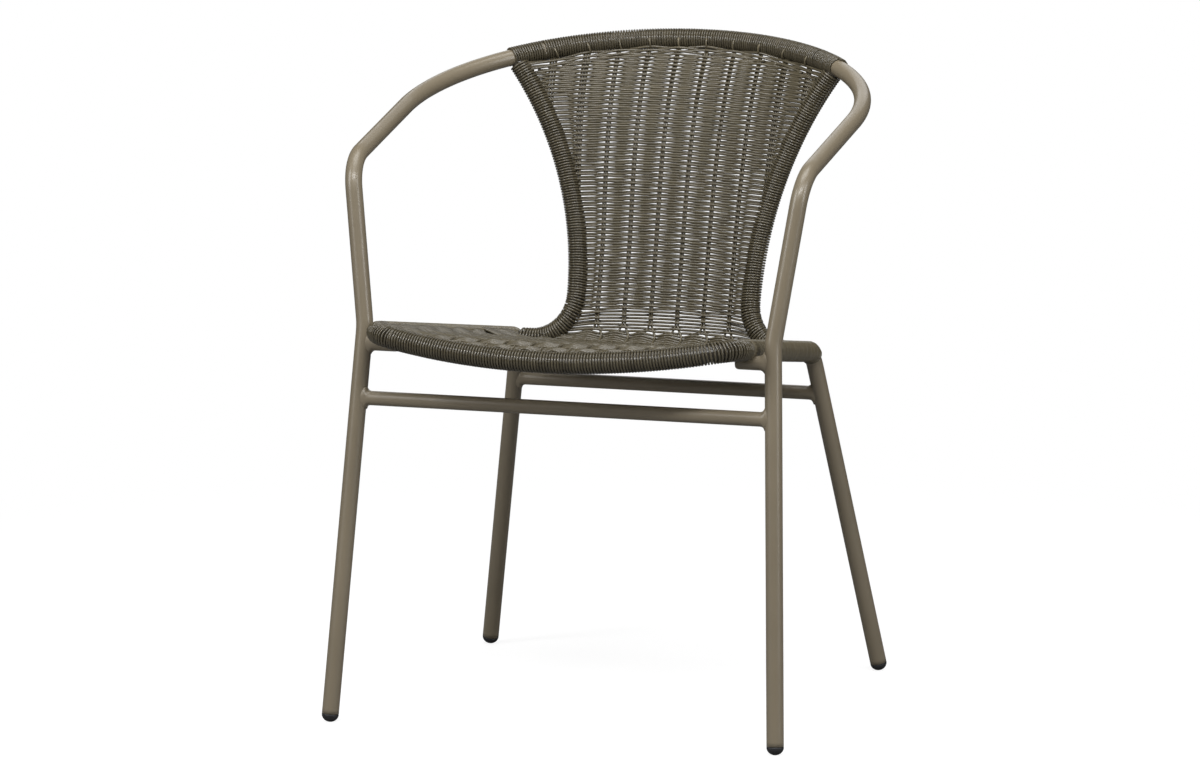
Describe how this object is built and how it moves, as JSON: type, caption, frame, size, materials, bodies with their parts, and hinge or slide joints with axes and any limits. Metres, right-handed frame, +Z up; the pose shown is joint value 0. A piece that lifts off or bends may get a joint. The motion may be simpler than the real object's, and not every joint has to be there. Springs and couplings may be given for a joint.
{
  "type": "rattan bistro chair",
  "caption": "Armchair with a welded steel tube frame, one bent tube for front legs, arms and top rail, and a seat and back woven from plastic wicker strand.",
  "frame": {"origin": "on the floor, under the middle of the chair's outer box", "axes": "+Z up, the chair faces -Y, +X to the sitter's left"},
  "size_m": [0.5478, 0.5607, 0.7349],
  "materials": {
    "frame_paint": "satin taupe powder coat",
    "wicker": "round extruded strand with a soft sheen",
    "foot_plastic": "matt black moulding"
  },
  "bodies": {
    "root": {"arm_loop": "frame_paint", "rear_leg_left": "frame_paint", "rear_leg_right": "frame_paint", "seat_front_rail": "frame_paint", "front_stretcher": "frame_paint", "rear_stretcher": "frame_paint", "back_side_tube_left": "frame_paint", "back_side_tube_right": "frame_paint", "seat_bracket_left": "frame_paint", "seat_bracket_right": "frame_paint", "front_foot_plug_left": "foot_plastic", "front_foot_plug_right": "foot_plastic", "rear_foot_plug_left": "foot_plastic", "rear_foot_plug_right": "foot_plastic", "top_rail_wrap": "wicker", "front_rail_wrap": "wicker", "top_corner_wrap_left": "wicker", "top_corner_wrap_right": "wicker", "seat_corner_wrap_left": "wicker", "seat_corner_wrap_right": "wicker", "side_rail_wrap_left": "wicker", "side_rail_wrap_right": "wicker", "back_edge_wrap_left": "wicker", "back_edge_wrap_right": "wicker", "back_weave": "wicker", "seat_weave": "wicker"}
  },
  "joints": []
}
